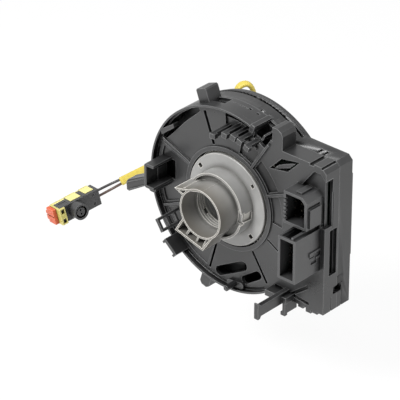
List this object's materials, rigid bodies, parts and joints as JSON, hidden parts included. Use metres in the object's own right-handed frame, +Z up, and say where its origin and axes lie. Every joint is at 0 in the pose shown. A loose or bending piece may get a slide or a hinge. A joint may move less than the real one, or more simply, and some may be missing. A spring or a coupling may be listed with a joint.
{
  "type": "steering clock spring",
  "caption": "Rotary connector between a steering column and its wheel: black round housing with plug sockets, grey cancelling hub, steering-angle gears and air-bag leads.",
  "frame": {"origin": "on the turning axis, at the front face of the grey hub's flange", "axes": "+Y along the turning axis towards the steering wheel, +Z up, +X towards the connector box"},
  "size_m": [0.2127, 0.0787, 0.1369],
  "materials": {
    "black_plastic": "satin",
    "grey_plastic": "satin",
    "white_plastic": "satin",
    "contact_metal": "bright",
    "board": "satin",
    "chip": "matt",
    "film": "satin",
    "magnet": "plain",
    "yellow_sleeve": "satin",
    "dark_wire": "satin",
    "brown_wire": "satin",
    "pale_plastic": "satin",
    "orange_plastic": "satin"
  },
  "bodies": {
    "stator": {"front_cover": "black_plastic", "rear_case": "black_plastic", "connector_block": "black_plastic", "upper_socket_pins": "contact_metal", "lower_socket_pins": "contact_metal", "circuit_board": "board", "sensor_chips": "chip", "rear_lid": "black_plastic", "slide_sheet": "film", "flat_cable": "film", "outer_cable_terminal": "white_plastic"},
    "rotor": {"cancel_cam": "grey_plastic", "ring_gear": "white_plastic", "rotor_disc": "black_plastic", "inner_cable_terminal": "white_plastic", "wheel_socket": "black_plastic", "wheel_socket_pins": "contact_metal", "lead_clamp_1": "black_plastic", "lead_sleeve_1": "yellow_sleeve", "lead_dark_wire_1": "dark_wire", "lead_brown_wire_1": "brown_wire", "plug_body_1": "black_plastic", "plug_cover_1": "pale_plastic", "lead_clamp_2": "black_plastic", "lead_sleeve_2": "yellow_sleeve", "lead_dark_wire_2": "dark_wire", "lead_brown_wire_2": "brown_wire", "plug_body_2": "black_plastic", "plug_cover_2": "pale_plastic"},
    "angle_gear_1": {"angle_gear_1": "white_plastic", "angle_magnet_1": "magnet"},
    "angle_gear_2": {"angle_gear_2": "white_plastic", "angle_magnet_2": "magnet"},
    "lock_1": {"plug_lock_1": "orange_plastic"},
    "lock_2": {"plug_lock_2": "orange_plastic"}
  },
  "joints": [
    {"name": "rotor_turn", "type": "hinge", "parent": "stator", "child": "rotor", "pos_m": [0, 0, 0], "axis": [0, 1, 0], "range_deg": [-900, 900], "deforming": ["flat_cable"]},
    {"name": "angle_gear_1_turn", "type": "hinge", "parent": "stator", "child": "angle_gear_1", "pos_m": [0.04108, 0.0072, -0.00873], "axis": [0, 1, 0], "range_deg": [-2250, 2250]},
    {"name": "angle_gear_2_turn", "type": "hinge", "parent": "stator", "child": "angle_gear_2", "pos_m": [0.03551, 0.0072, 0.0205], "axis": [0, 1, 0], "range_deg": [-2460, 2460]},
    {"name": "plug_lock_1_slide", "type": "slide", "parent": "rotor", "child": "lock_1", "axis": [-0.2003, -0.9665, -0.1603], "range_m": [0, 0.0025]},
    {"name": "plug_lock_2_slide", "type": "slide", "parent": "rotor", "child": "lock_2", "axis": [0.1505, -0.1004, -0.9835], "range_m": [0, 0.0025]}
  ],
  "couplings": [
    {"joint": "angle_gear_1_turn", "follows": "rotor_turn", "ratio": -2.5},
    {"joint": "angle_gear_2_turn", "follows": "rotor_turn", "ratio": -2.7273}
  ]
}
